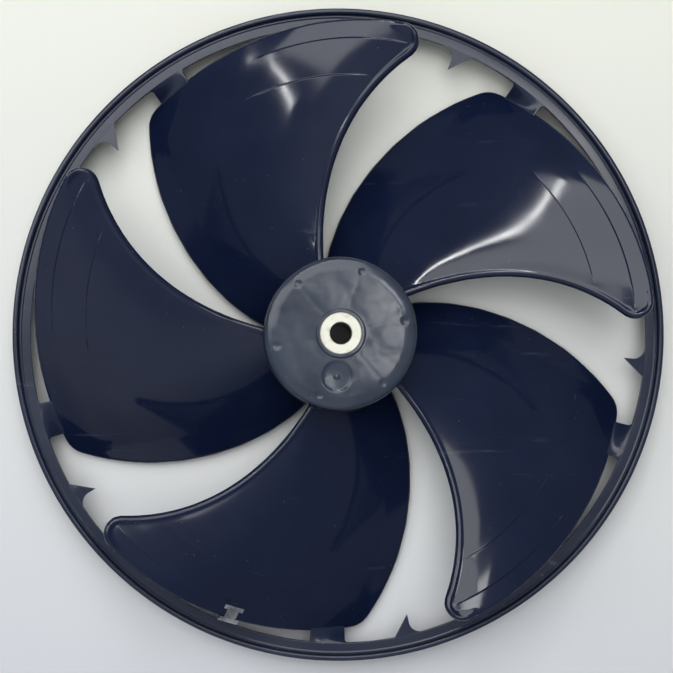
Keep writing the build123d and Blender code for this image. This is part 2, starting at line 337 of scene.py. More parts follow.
def pattern_tree():
    """Geometry Nodes: Count copies of a unit, evenly round the axis from a start angle."""
    tree = bpy.data.node_groups.new("copies_round_axis", "GeometryNodeTree")
    face = tree.interface
    face.new_socket("Unit", in_out="INPUT", socket_type="NodeSocketGeometry")
    count = face.new_socket("Count", in_out="INPUT", socket_type="NodeSocketInt")
    start = face.new_socket("Start Angle", in_out="INPUT", socket_type="NodeSocketFloat")
    finish = face.new_socket("Material", in_out="INPUT", socket_type="NodeSocketMaterial")
    face.new_socket("Copies", in_out="OUTPUT", socket_type="NodeSocketGeometry")
    count.default_value, start.default_value = 1, 0.0
    inlet = tree.nodes.new("NodeGroupInput")
    outlet = tree.nodes.new("NodeGroupOutput")
    line = tree.nodes.new("GeometryNodeMeshLine")
    line.inputs["Offset"].default_value = (0, 0, 0)
    index = tree.nodes.new("GeometryNodeInputIndex")
    turn = tree.nodes.new("ShaderNodeMath")
    turn.operation = "DIVIDE"
    turn.inputs[0].default_value = 2 * pi
    angle = tree.nodes.new("ShaderNodeMath")
    angle.operation = "MULTIPLY_ADD"
    euler = tree.nodes.new("ShaderNodeCombineXYZ")
    rotation = tree.nodes.new("FunctionNodeEulerToRotation")
    place = tree.nodes.new("GeometryNodeInstanceOnPoints")
    realize = tree.nodes.new("GeometryNodeRealizeInstances")
    dress = tree.nodes.new("GeometryNodeSetMaterial")
    link = tree.links.new
    link(inlet.outputs["Count"], line.inputs["Count"])
    link(inlet.outputs["Count"], turn.inputs[1])
    link(index.outputs[0], angle.inputs[0])
    link(turn.outputs[0], angle.inputs[1])
    link(inlet.outputs["Start Angle"], angle.inputs[2])
    link(angle.outputs[0], euler.inputs["Z"])
    link(euler.outputs[0], rotation.inputs[0])
    link(line.outputs[0], place.inputs["Points"])
    link(inlet.outputs["Unit"], place.inputs["Instance"])
    link(rotation.outputs[0], place.inputs["Rotation"])
    link(place.outputs[0], realize.inputs[0])
    link(realize.outputs[0], dress.inputs["Geometry"])
    link(inlet.outputs["Material"], dress.inputs["Material"])
    link(dress.outputs[0], outlet.inputs[0])
    return tree, count.identifier, start.identifier, finish.identifier


PATTERN = pattern_tree()


def repeat_round_axis(piece, count, start_angle, material):
    tree, count_socket, start_socket, material_socket = PATTERN
    modifier = piece.modifiers.new("copies", "NODES")
    modifier.node_group = tree
    modifier[count_socket] = count
    modifier[start_socket] = radians(start_angle)
    modifier[material_socket] = material
    return settle(piece)


# ================= shader groups and materials =================

def add_node(tree, kind, inputs=None, **settings):
    """A node with its settings, and its inputs given as values or as sockets to link."""
    made = tree.nodes.new(kind)
    for name, value in settings.items():
        setattr(made, name, value)
    for key, value in (inputs or {}).items():
        if isinstance(value, bpy.types.NodeSocket):
            tree.links.new(value, made.inputs[key])
        else:
            made.inputs[key].default_value = value
    return made


def start_group(name, inputs, outputs):
    tree = bpy.data.node_groups.new(name, "ShaderNodeTree")
    for label, default in inputs.items():
        socket = tree.interface.new_socket(label, in_out="INPUT", socket_type="NodeSocketFloat")
        socket.default_value = default
    for label in outputs:
        tree.interface.new_socket(label, in_out="OUTPUT", socket_type="NodeSocketFloat")
    return tree, tree.nodes.new("NodeGroupInput"), tree.nodes.new("NodeGroupOutput")


def object_place(tree):
    return add_node(tree, "ShaderNodeTexCoord").outputs["Object"]


def noise(tree, place, scale, detail, roughness=0.5):
    made = add_node(tree, "ShaderNodeTexNoise", {"Vector": place, "Detail": detail, "Roughness": roughness})
    if isinstance(scale, bpy.types.NodeSocket):
        tree.links.new(scale, made.inputs["Scale"])
    else:
        made.inputs["Scale"].default_value = scale
    return made.outputs[0]


def between(tree, value, low, high, **settings):
    """0 at low, 1 at high, and a share of 1 between them."""
    return add_node(tree, "ShaderNodeMapRange", {
        "Value": value, "From Min": low, "From Max": high}, **settings).outputs[0]


def product(tree, first, second):
    return add_node(tree, "ShaderNodeMath", {0: first, 1: second}, operation="MULTIPLY").outputs[0]


def scaled_sum(tree, first, factor, added):
    """first times factor plus added."""
    return add_node(tree, "ShaderNodeMath", {
        0: first, 1: factor, 2: added}, operation="MULTIPLY_ADD").outputs[0]


def mould_flow_group():
    """Soft unevenness of a moulded face: broad sink marks and fine orange peel."""
    tree, inlet, outlet = start_group(
        "mould_flow", {"Broad Scale": 22.0, "Fine Scale": 900.0, "Fine Share": 0.01}, ("Height", "Mask")
    )
    place = object_place(tree)
    broad = noise(tree, place, inlet.outputs["Broad Scale"], 2.0, 0.45)
    fine = noise(tree, place, inlet.outputs["Fine Scale"], 1.0)
    height = scaled_sum(tree, fine, inlet.outputs["Fine Share"], broad)
    tree.links.new(height, outlet.inputs["Height"])
    tree.links.new(between(tree, broad, 0.32, 0.68), outlet.inputs["Mask"])
    return tree


def hairline_group():
    """Fine scratches in two directions, broken up so that they come in patches."""
    tree, inlet, outlet = start_group("hairlines", {"Scale": 60.0, "Amount": 1.0}, ("Mask",))
    place = object_place(tree)
    layers = []
    for turn, stretch in ((0.5, (0.06, 1.6, 0.5)), (2.3, (0.05, 1.3, 0.5))):
        laid = add_node(tree, "ShaderNodeMapping", {
            "Vector": place, "Rotation": (0.0, 0.0, turn), "Scale": stretch})
        lines = noise(tree, laid.outputs[0], inlet.outputs["Scale"], 7.0, 0.75)
        layers.append(between(tree, lines, 0.62, 0.7))
    both = add_node(tree, "ShaderNodeMath", {0: layers[0], 1: layers[1]}, operation="MAXIMUM")
    patches = between(tree, noise(tree, place, 14.0, 2.0), 0.45, 0.62)
    worn = product(tree, both.outputs[0], patches)
    tree.links.new(product(tree, worn, inlet.outputs["Amount"]), outlet.inputs["Mask"])
    return tree


def dust_group():
    """Sparse specks and a thin film on what faces up."""
    tree, inlet, outlet = start_group("dust", {"Film": 0.06, "Specks": 0.5}, ("Mask",))
    place = object_place(tree)
    facing = add_node(tree, "ShaderNodeNewGeometry").outputs["Normal"]
    up = add_node(tree, "ShaderNodeSeparateXYZ", {0: facing}).outputs["Z"]
    level = between(tree, up, 0.35, 1.0)
    film = product(tree, noise(tree, place, 30.0, 5.0, 0.65), inlet.outputs["Film"])
    cells = add_node(tree, "ShaderNodeTexVoronoi", {"Vector": place, "Scale": 420.0, "Randomness": 1.0})
    dots = between(tree, cells.outputs["Distance"], 0.12, 0.06)
    rare = add_node(tree, "ShaderNodeSeparateColor", {0: cells.outputs["Color"]}).outputs["Red"]
    few = add_node(tree, "ShaderNodeMath", {0: rare, 1: 0.96}, operation="GREATER_THAN").outputs[0]
    specks = product(tree, dots, few)
    both = scaled_sum(tree, specks, inlet.outputs["Specks"], film)
    tree.links.new(product(tree, both, level), outlet.inputs["Mask"])
    return tree


def edge_rub_group():
    """Convex edges that handling has rubbed, broken by noise."""
    tree, inlet, outlet = start_group("edge_rub", {"From": 0.53, "To": 0.62}, ("Mask",))
    place = object_place(tree)
    sharp = add_node(tree, "ShaderNodeNewGeometry").outputs["Pointiness"]
    edge = between(tree, sharp, inlet.outputs["From"], inlet.outputs["To"])
    breaks = between(tree, noise(tree, place, 120.0, 4.0, 0.7), 0.4, 0.65)
    tree.links.new(product(tree, edge, breaks), outlet.inputs["Mask"])
    return tree


MOULD_FLOW = mould_flow_group()
HAIRLINES = hairline_group()
DUST = dust_group()
EDGE_RUB = edge_rub_group()


def use_group(tree, group, **inputs):
    made = tree.nodes.new("ShaderNodeGroup")
    made.node_tree = group
    for name, value in inputs.items():
        made.inputs[name.replace("_", " ").title()].default_value = value
    return made.outputs


def start_material(name):
    material = bpy.data.materials.new(name)
    material.use_nodes = True
    tree = material.node_tree
    return material, tree, tree.nodes["Principled BSDF"]


def blend_colours(tree, mask, under, over):
    mix = add_node(tree, "ShaderNodeMix", data_type="RGBA")
    for socket, value in ((0, mask), (6, under), (7, over)):
        if isinstance(value, bpy.types.NodeSocket):
            tree.links.new(value, mix.inputs[socket])
        else:
            mix.inputs[socket].default_value = value
    return mix.outputs[2]


def add_up(tree, base, *parts):
    """base plus each (socket, factor)."""
    total = base
    for socket, factor in parts:
        total = scaled_sum(tree, socket, factor, total)
    return total


def add_bump(tree, height, strength, depth, **settings):
    """Bump of a depth in millimetres."""
    return add_node(tree, "ShaderNodeBump", {
        "Height": height, "Strength": strength, "Distance": depth * MM}, **settings)


def navy_plastic(name, roughness, sink_depth, film, haze, haze_colour=PLASTIC_HAZE, sink_scale=22.0):
    """Glossy dark navy moulded plastic; haze is a pale cloudiness where it has been handled."""
    material, tree, shader = start_material(name)
    flow = use_group(tree, MOULD_FLOW, broad_scale=sink_scale)
    hairs = use_group(tree, HAIRLINES, amount=0.8)["Mask"]
    dust = use_group(tree, DUST, film=film)["Mask"]
    rub = use_group(tree, EDGE_RUB)["Mask"]
    colour = blend_colours(tree, flow["Mask"], NAVY_DEEP, NAVY_LIGHT)
    cloudy = add_up(tree, 0.0, (flow["Mask"], haze * 0.5), (hairs, 0.1))
    cloudy = add_node(tree, "ShaderNodeMath", {0: cloudy, 1: haze * 0.75}, operation="ADD").outputs[0]
    colour = blend_colours(tree, cloudy, colour, haze_colour)
    colour = blend_colours(tree, rub, colour, NAVY_RUBBED)
    colour = blend_colours(tree, dust, colour, DUST_GREY)
    tree.links.new(colour, shader.inputs["Base Color"])
    gloss = add_up(tree, roughness, (flow["Mask"], 0.05), (hairs, 0.12), (rub, 0.15), (dust, 0.6))
    tree.links.new(gloss, shader.inputs["Roughness"])
    shader.inputs["IOR"].default_value = PLASTIC_IOR
    sinks = add_bump(tree, flow["Height"], 1.0, sink_depth)
    lines = add_bump(tree, hairs, 0.35, 0.01, invert=True)
    tree.links.new(sinks.outputs[0], lines.inputs["Normal"])
    tree.links.new(lines.outputs[0], shader.inputs["Normal"])
    return material


def turned_aluminium():
    """Machined face with fine rings round the axis, and a bore whose wall is coloured near black as painted
    shade.
    """
    material, tree, shader = start_material("turned_aluminium")
    place = object_place(tree)
    rings = add_node(tree, "ShaderNodeTexWave", {
        "Vector": place, "Scale": 900.0, "Distortion": 1.2, "Detail": 3.0, "Detail Scale": 2.0},
        wave_type="RINGS", rings_direction="Z").outputs["Fac"]
    hairs = use_group(tree, HAIRLINES, scale=220.0)["Mask"]
    dirt = between(tree, noise(tree, place, 260.0, 4.0), 0.55, 0.8)
    colour = blend_colours(tree, dirt, MACHINED_PALE, MACHINED_DULL)
    spots = add_node(tree, "ShaderNodeSeparateXYZ", {0: place})
    flat = add_node(tree, "ShaderNodeCombineXYZ", {"X": spots.outputs["X"], "Y": spots.outputs["Y"]})
    away = add_node(tree, "ShaderNodeVectorMath", {0: flat.outputs[0]}, operation="LENGTH").outputs["Value"]
    # painted shade: the wall of the bore is coloured near black inside these radii
    bore_shade = between(tree, away, BORE_SHADE_RADII[0] * MM, BORE_SHADE_RADII[1] * MM)
    colour = blend_colours(tree, bore_shade, colour, BORE_PAINTED_SHADE)
    tree.links.new(colour, shader.inputs["Base Color"])
    shader.inputs["Metallic"].default_value = 0.3
    gloss = add_up(tree, 0.42, (rings, 0.08), (dirt, 0.2), (hairs, 0.1))
    tree.links.new(gloss, shader.inputs["Roughness"])
    tree.links.new(add_bump(tree, rings, 0.5, 0.02).outputs[0], shader.inputs["Normal"])
    return material


def plain_steel(name, bright, dull, roughness):
    """Sheet or bar steel with stains, hairlines and rubbed edges."""
    material, tree, shader = start_material(name)
    stains = noise(tree, object_place(tree), 340.0, 5.0, 0.6)
    stained = between(tree, stains, 0.4, 0.7)
    hairs = use_group(tree, HAIRLINES, scale=300.0)["Mask"]
    rub = use_group(tree, EDGE_RUB)["Mask"]
    colour = blend_colours(tree, stained, bright, dull)
    colour = blend_colours(tree, rub, colour, STEEL_RUBBED)
    tree.links.new(colour, shader.inputs["Base Color"])
    shader.inputs["Metallic"].default_value = 0.85
    gloss = add_up(tree, roughness, (stained, 0.15), (hairs, 0.1))
    tree.links.new(gloss, shader.inputs["Roughness"])
    tree.links.new(add_bump(tree, stains, 0.4, 0.03).outputs[0], shader.inputs["Normal"])
    return material


def table_paper():
    """Pale table top with a faint unevenness, and painted light and shade: lighter and warmer towards +Y,
    darker and cooler towards -Y.
    """
    material, tree, shader = start_material("table_paper")
    place = object_place(tree)
    cloud = noise(tree, place, 3.0, 4.0)
    # painted light and shade: the colour runs from the darker, cooler paper at -Y to the lighter, warmer
    # paper at +Y, standing in for the lamps' fall-off
    across = add_node(tree, "ShaderNodeVectorMath", {0: place, 1: (0.12, 1.0, 0.0)}, operation="DOT_PRODUCT")
    far = add_node(tree, "ShaderNodeMapRange", {
        "Value": across.outputs["Value"], "From Min": -0.26, "From Max": 0.26, "To Min": -0.1})
    unevenness_and_painted_falloff = scaled_sum(tree, cloud, 0.2, far.outputs[0])
    colour = blend_colours(tree, unevenness_and_painted_falloff, PAPER_PAINTED_SHADE, PAPER_PAINTED_LIGHT)
    tree.links.new(colour, shader.inputs["Base Color"])
    shader.inputs["Roughness"].default_value = 0.6
    fibres = noise(tree, place, 500.0, 3.0)
    tree.links.new(add_bump(tree, fibres, 0.3, 0.05).outputs[0], shader.inputs["Normal"])
    return material


BLADE_PLASTIC = navy_plastic(
    "navy_plastic_blades", roughness=0.07, sink_depth=0.12, film=0.02, haze=0.006)
RING_PLASTIC = navy_plastic(
    "navy_plastic_ring", roughness=0.16, sink_depth=0.05, film=0.04, haze=0.03)
HUB_PLASTIC = navy_plastic(
    "navy_plastic_hub", roughness=0.12, sink_depth=0.6, film=0.05, haze=0.1,
    haze_colour=HUB_HAZE, sink_scale=48.0)


# ================= the blades =================

def through_stations(column, radius):
    """One column of the stations at any radius, as the cubic through all four."""
    share = (radius - HUB_RADIUS) / (TIP_RADIUS - HUB_RADIUS)
    total = 0.0
    for station in STATIONS:
        weight = 1.0
        for other in STATIONS:
            if other is not station:
                weight = weight * (share - other[0]) / (station[0] - other[0])
        total = total + weight * station[column]
    return total


def underside_height(radius, share):
    """Height of a blade's underside, without its trailing border."""
    leading = through_stations(LEADING_HEIGHT, radius)
    trailing = through_stations(TRAILING_HEIGHT, radius)
    chord = radius * (through_stations(TRAILING_ANGLE, radius) - through_stations(LEADING_ANGLE, radius))
    tip_chord = TIP_RADIUS * (STATIONS[-1][TRAILING_ANGLE] - STATIONS[-1][LEADING_ANGLE])
    near = np.clip(share, 0.0, 1.0)
    bow = 4 * near * (1 - near) * (1 + CAMBER_FORWARD * (0.5 - near))
    return leading + (trailing - leading) * share + CAMBER * chord / tip_chord * bow


def edge_curve(column, count=500):
    """Plan points of the leading or trailing edge before its corner is rounded."""
    radii = np.linspace(HUB_RADIUS - 1, TIP_RADIUS, count)
    angles = np.radians(through_stations(column, radii))
    return np.stack([radii * np.cos(angles), radii * np.sin(angles)], -1), radii


def corner_circle(column, corner, inward):
    """Angle of the centre of the circle that rounds an edge into the tip, and where it starts."""
    curve, radii = edge_curve(column)
    low, high = 0.0, 30.0
    for _ in range(40):
        middle = (low + high) / 2
        centre = polar(TIP_RADIUS - corner, STATIONS[-1][column] + inward * middle)
        gaps = np.hypot(*(curve - centre).T)
        if gaps.min() < corner:
            low = middle
        else:
            high = middle
    return STATIONS[-1][column] + inward * high, radii[gaps.argmin()]


def rounded_edge(column, corner, inward, radii):
    """Angles of an edge at these radii, with the rounded corner."""
    middle_angle, start = corner_circle(column, corner, inward)
    centre = TIP_RADIUS - corner
    plain = through_stations(column, radii)
    inside = (radii**2 + centre**2 - corner**2) / (2 * radii * centre)
    reach = np.degrees(np.arccos(np.clip(inside, -1, 1)))
    return np.where(radii <= start, plain, middle_angle - inward * reach)


def blade_rows():
    """Radii of the blade's rows, closer where the form turns quickly."""
    root = [-1.0, 0.0, 0.12, 0.35, 0.7, 1.1, 1.6, 2.2, 3.2, 4.6]
    tip = [0.0, 0.03, 0.12, 0.27, 0.48, 0.75, 1.1, 1.6, 2.2, 3.0, 4.0, 5.4, 7.2]
    steps = [-1.2, -0.7, -0.4, -0.2, 0.0, 0.2, 0.4, 0.7, 1.2]
    rows = [HUB_RADIUS + r for r in root] + [TIP_RADIUS - t for t in tip]
    rows += [TIP_RADIUS - inset + s for inset in BAND_INSETS for s in steps]
    for r in np.arange(HUB_RADIUS + 7, TIP_RADIUS - 8, 2.6):
        if min(abs(r - other) for other in rows) > 1.0:
            rows.append(r)
    return np.array(sorted(rows))


def blade_columns(chord):
    """Distances along a section from the leading edge, closer at the bead and the trailing border."""
    front = [0.0, 0.05, 0.18, 0.4, 0.7, 1.1, 1.5, 2.0, 2.5, 3.0, 3.5, 4.0, 4.4, 4.8, 5.6, 7.0]
    back = [24.0 - 0.8 * k for k in range(26)] + [3.2, 2.4, 1.8, 1.3, 0.8, 0.45, 0.2, 0.05, 0.0]
    middle = 44
    between = [front[-1] + (chord - back[0] - front[-1]) * k / middle for k in range(1, middle)]
    return np.array(front + between + [chord - b for b in back])


def nearest(points, curve):
    """Distance to the nearest point of a plan curve, and that point's index."""
    best = np.full(len(points), 1e9)
    index = np.zeros(len(points), int)
    for k in range(0, len(curve), 200):
        across = points[:, None, 0] - curve[None, k:k + 200, 0]
        along = points[:, None, 1] - curve[None, k:k + 200, 1]
        gaps = np.hypot(across, along)
        low = gaps.argmin(1)
        value = gaps[np.arange(len(points)), low]
        closer = value < best
        best[closer] = value[closer]
        index[closer] = low[closer] + k
    return best, index


def outline_curve():
    """Plan outline of a blade from leading root round the tip to trailing root, and its bead."""
    fine_tip = TIP_RADIUS - np.linspace(0, 1, 260)[::-1] ** 2 * 30
    radii = np.concatenate([np.linspace(HUB_RADIUS - 2, TIP_RADIUS - 30, 260)[:-1], fine_tip])
    leading = rounded_edge(LEADING_ANGLE, LEADING_CORNER, 1, radii)
    trailing = rounded_edge(TRAILING_ANGLE, TRAILING_CORNER, -1, radii)
    tip = np.linspace(leading[-1], trailing[-1], 400)[1:-1]
    angles = np.radians(np.concatenate([leading, tip, trailing[::-1]]))
    distances = np.concatenate([radii, np.full(len(tip), TIP_RADIUS), radii[::-1]])
    bead = np.zeros(len(angles))
    bead[:len(leading)] = 1.0
    fade = np.clip(1 - (tip - tip[0]) * radians(1) * TIP_RADIUS / BEAD_FADE, 0, 1)
    bead[len(leading):len(leading) + len(tip)] = fade
    return np.stack([distances * np.cos(angles), distances * np.sin(angles)], -1), bead


def beyond_crease(plan):
    """How far a plan point lies past the straight crease, on the trailing side."""
    start, end = np.array(CREASE_ENDS)
    along = (end - start) / np.linalg.norm(end - start)
    across = np.array([-along[1], along[0]])
    return (plan - start) @ across


def band_thickness(radius, share):
    """Thickness that steps down twice towards the tip; the steps are crisp in mid-chord only."""
    crisp = smooth_step((share - BAND_RUN[0]) / BAND_RUN_FADES[0])
    crisp = crisp * (1 - smooth_step((share - BAND_RUN[1]) / BAND_RUN_FADES[1]))
    thickness = np.full(radius.shape, BLADE_SKIN)
    for inset in BAND_INSETS:
        beyond = radius - (TIP_RADIUS - inset)
        sharp = 1 - smooth_step(beyond / BAND_EDGE + 0.5)
        soft = 1 - smooth_step(beyond / BAND_RAMP + 0.5)
        thickness += BAND_STEP * (crisp * sharp + (1 - crisp) * soft)
    inner, outer = TIP_RADIUS - BAND_INSETS[1], TIP_RADIUS - BAND_INSETS[0]
    rise = np.clip(radius - inner, 0, None)
    rise = rise - (outer - inner) * smooth_step((radius - outer) / BAND_EDGE + 0.5)
    return thickness + BAND_TILT * np.clip(rise, 0, None) * crisp


def blade_plan():
    """Radius, angle and share of the chord at each point of a blade, and distances along its rows."""
    rows = blade_rows()
    leading = rounded_edge(LEADING_ANGLE, LEADING_CORNER, 1, rows)
    trailing = rounded_edge(TRAILING_ANGLE, TRAILING_CORNER, -1, rows)
    arcs = np.array([
        blade_columns(radius * radians(last - first))
        for radius, first, last in zip(rows, leading, trailing)
    ])
    radius = np.repeat(rows[:, None], arcs.shape[1], axis=1)
    angle = leading[:, None] + np.degrees(arcs / radius)
    full_leading = through_stations(LEADING_ANGLE, radius)
    share = (angle - full_leading) / (through_stations(TRAILING_ANGLE, radius) - full_leading)
    return radius, angle, share, arcs


def bordered_underside(radius, share, plan):
    """Height of the underside, with the fall to the trailing edge and the crease before it."""
    trailing_curve = edge_curve(TRAILING_ANGLE)[0]
    border = nearest(plan.reshape(-1, 2), trailing_curve)[0].reshape(radius.shape)
    lower = underside_height(radius, share)
    lower -= FALL_DROP * smooth_step(1 - border / FALL_WIDTH)
    beyond = beyond_crease(plan)
    lower += LIP_SLOPE * (beyond + np.sqrt(beyond**2 + LIP_SOFTNESS**2)) / 2
    return lower


def half_thickness(radius, plan, core):
    """Half the blade's thickness: rounded at the outline, swollen at the bead, filleted at the root."""
    outline, bead = outline_curve()
    edge_distance, edge_index = nearest(plan.reshape(-1, 2), outline)
    edge_distance = edge_distance.reshape(radius.shape)
    bead_here = bead[edge_index].reshape(radius.shape)
    plate = core * np.sqrt(1 - (1 - np.clip(edge_distance / core, 0, 1)) ** 2)
    swell = np.sqrt(np.clip(BEAD_RADIUS**2 - (edge_distance - BEAD_RADIUS) ** 2, 0, None)) * bead_here
    blend = EDGE_BLEND * np.clip(edge_distance / EDGE_BLEND_WIDTH, 0, 1)
    half = (plate + swell + np.sqrt((plate - swell) ** 2 + blend**2)) / 2
    out = np.clip(radius - HUB_RADIUS, 0, ROOT_FILLET)
    half += ROOT_FILLET - np.sqrt(ROOT_FILLET**2 - (ROOT_FILLET - out) ** 2)
    return half


def blade_piece():
    """Upper and lower skins of one blade, joined at the root row inside the hub's wall."""
    radius, angle, share, arcs = blade_plan()
    plan = np.stack([radius * np.cos(np.radians(angle)), radius * np.sin(np.radians(angle))], -1)
    lower = bordered_underside(radius, share, plan)
    core = band_thickness(radius, share) / 2
    half = half_thickness(radius, plan, core)
    slope = np.array([np.gradient(z, s) for z, s in zip(lower, arcs)])
    length = np.sqrt(1 + slope**2)
    skins = []
    for offset in (core + half, core - half):
        turned = np.radians(angle) - offset * slope / length / radius
        height = lower + offset / length
        skins.append(np.stack([radius * np.cos(turned), radius * np.sin(turned), height], -1))
    count, width = radius.shape
    faces = grid_faces(count, width) + grid_faces(count, width, start=count * width, flip=True)
    for j in range(width - 1):
        faces.append([j, j + 1, count * width + j + 1, count * width + j])
    return make_piece("fan_blades", np.concatenate([s.reshape(-1, 3) for s in skins]), faces)


def make_blades():
    piece = weld_doubles(blade_piece(), 0.002)
    return repeat_round_axis(piece, BLADE_COUNT, 0.0, BLADE_PLASTIC)


# ================= the ring, its tabs and hooks =================

def make_ring():
    """Outer wall, rounded rim, shadow groove, low lip and flange."""
    top = RING_HEIGHT + RIM_RISE
    rim_inner = RING_RADIUS - RIM_WIDTH
    groove = rim_inner - GROOVE_WIDTH
    under = RING_HEIGHT - FLANGE_THICKNESS
    outline = round_corners([
        (RING_RADIUS, 0, 0.4),
        (RING_RADIUS, top, 1.4),
        (rim_inner, top, 1.6),
        (rim_inner, RING_HEIGHT - GROOVE_DEPTH, 0.15),
        (groove, RING_HEIGHT - GROOVE_DEPTH, 0.15),
        (groove, RING_HEIGHT + LIP_RISE, 0.25),
        (groove - LIP_WIDTH / 2, RING_HEIGHT + LIP_RISE, 0.3),
        (groove - LIP_WIDTH, RING_HEIGHT, 0.8),
        (FLANGE_INNER, RING_HEIGHT, 0.5),
        (FLANGE_INNER, under, 0.3),
        (RING_RADIUS - RING_WALL, under, 1.2),
        (RING_RADIUS - RING_WALL, 0, 0.4),
    ])
    piece = lathe_piece("outer_ring", lathe_points(outline, RING_SEGMENTS))
    piece.data.materials.append(RING_PLASTIC)
    return piece


def tip_top(angle):
    """Height of a blade's upper face at the tip."""
    first, last = STATIONS[-1][LEADING_ANGLE], STATIONS[-1][TRAILING_ANGLE]
    share = (angle - first) / (last - first)
    return float(underside_height(TIP_RADIUS, share)) + BLADE_SKIN


def make_tabs():
    """Short bridges that slope from the flange down to the blade tips."""
    rows, columns = 22, 18
    inner, outer = TIP_RADIUS - TAB_INTO_BLADE, FLANGE_INNER + TAB_INTO_FLANGE
    upper, lower = [], []
    for i in range(rows):
        radius = inner + (outer - inner) * i / (rows - 1)
        along = (radius - inner) / (outer - inner)
        into = min(max(FLANGE_INNER - radius, 0.0), TAB_FILLET)
        flare = TAB_FILLET - sqrt(TAB_FILLET**2 - (TAB_FILLET - into) ** 2)
        first = TAB_ANGLES[0] - degrees(flare / radius)
        last = TAB_ANGLES[1] + degrees(flare / radius)
        for j in range(columns):
            side = (1 - cos(pi * j / (columns - 1))) / 2
            angle = first + (last - first) * side
            from_side = min(side, 1 - side) * radians(last - first) * radius
            soft = min(from_side / TAB_SIDE_ROUND, 1.0)
            drop = TAB_SIDE_ROUND * (1 - sqrt(1 - (1 - soft) ** 2))
            meet = tip_top(angle) - TAB_BELOW_BLADE
            height = meet + (RING_HEIGHT - meet) * float(smooth_step(along)) - TAB_BELOW_FLANGE
            upper.append((*polar(radius, angle), height - drop))
            lower.append((*polar(radius, angle), height - TAB_DEPTH * (1 - TAB_TAPER * along) + drop))
    faces = grid_faces(rows, columns) + grid_faces(rows, columns, start=rows * columns, flip=True)
    loop = list(range(columns)) + [i * columns + columns - 1 for i in range(1, rows)]
    loop += [(rows - 1) * columns + j for j in range(columns - 2, -1, -1)]
    loop += [i * columns for i in range(rows - 2, 0, -1)]
    for k, here in enumerate(loop):
        after = loop[(k + 1) % len(loop)]
        faces.append([here, after, rows * columns + after, rows * columns + here])
    piece = make_piece("tip_bridges", upper + lower, faces)
    return repeat_round_axis(piece, BLADE_COUNT, 0.0, RING_PLASTIC)


def hook_outline():
    """Claw in plan: a straight flank, a short straight point and a flank that curves back."""
    root = FLANGE_INNER + 1.0
    tip = FLANGE_INNER - HOOK_LENGTH
    bend = polar(tip + HOOK_STRAIGHT, HOOK_TIP_ANGLE)
    away = polar(1.0, HOOK_TIP_ANGLE)
    side = np.array([-away[1], away[0]])
    end = polar(FLANGE_INNER, HOOK_ROOT_END)
    reach = end - bend
    arc_radius = (reach @ reach) / (2 * (reach @ side))
    centre = bend + side * arc_radius
    sweep = 2 * atan2(reach @ side, reach @ away)
    outline = [polar(root, HOOK_ROOT_ANGLE), polar(tip + 0.25, HOOK_TIP_ANGLE - 0.05)]
    outline.append(polar(tip + 0.25, HOOK_TIP_ANGLE + 0.04))
    for k in range(13):
        turn = sweep * k / 12
        outline.append(centre - side * arc_radius * cos(turn) + away * arc_radius * sin(turn))
    outline.append(polar(root, HOOK_ROOT_END))
    return outline


def make_hooks():
    """Hook fins on the flange's inner edge."""
    outline = hook_outline()
    count = len(outline)
    top, bottom = RING_HEIGHT - 0.02, RING_HEIGHT - FLANGE_THICKNESS + 0.02
    points = [(*p, top) for p in outline] + [(*p, bottom) for p in outline]
    faces = [list(range(count)), list(range(2 * count - 1, count - 1, -1))]
    for k in range(count):
        after = (k + 1) % count
        faces.append([after, k, count + k, count + after])
    piece = face_outwards(make_piece("hook_fins", points, faces))
    bevel = piece.modifiers.new("soft_edges", "BEVEL")
    bevel.width = 0.35 * MM
    bevel.segments = 3
    bevel.limit_method = "ANGLE"
    bevel.angle_limit = radians(35)
    bevel.harden_normals = True
    settle(piece)
    return repeat_round_axis(piece, BLADE_COUNT, 0.0, RING_PLASTIC)


# ================= the hub =================

def sink_line(x, y, angle):
    """Shallow valley that the face has over one rib."""
    along = x * cos(radians(angle)) + y * sin(radians(angle))
    beside = y * cos(radians(angle)) - x * sin(radians(angle))
    inside = smooth_step((along - SINK_RUN[0]) / SINK_FADE)
    inside = inside * (1 - smooth_step((along - SINK_RUN[1]) / SINK_FADE))
    return SINK_DEPTH * np.exp(-(beside / SINK_WIDTH) ** 2) * inside


def hub_marks(x, y):
    """Depth below the hub face of the ejector dimples and of the gate's dish with its stub."""
    depth = np.zeros(x.shape)
    for k in range(RIB_COUNT):
        spot = polar(HUB_RADIUS - DIMPLE_INSET, RIB_START + k * 360 / RIB_COUNT)
        away = np.hypot(x - spot[0], y - spot[1])
        depth += DIMPLE_DEPTH * np.clip(1 - (away / DIMPLE_RADIUS) ** 2, 0, None)
        depth += sink_line(x, y, RIB_START + k * 360 / RIB_COUNT)
    spot = polar(DISH_DISTANCE, DISH_ANGLE)
    away = np.hypot(x - spot[0], y - spot[1])
    depth += DISH_DEPTH * smooth_step((DISH_RADIUS - away) / DISH_EDGE)
    depth += DISH_BOWL * np.clip(1 - (away / DISH_RADIUS) ** 2, 0, None)
    depth -= STUB_HEIGHT * smooth_step((STUB_RADIUS - away) / STUB_EDGE + 0.5)
    return depth


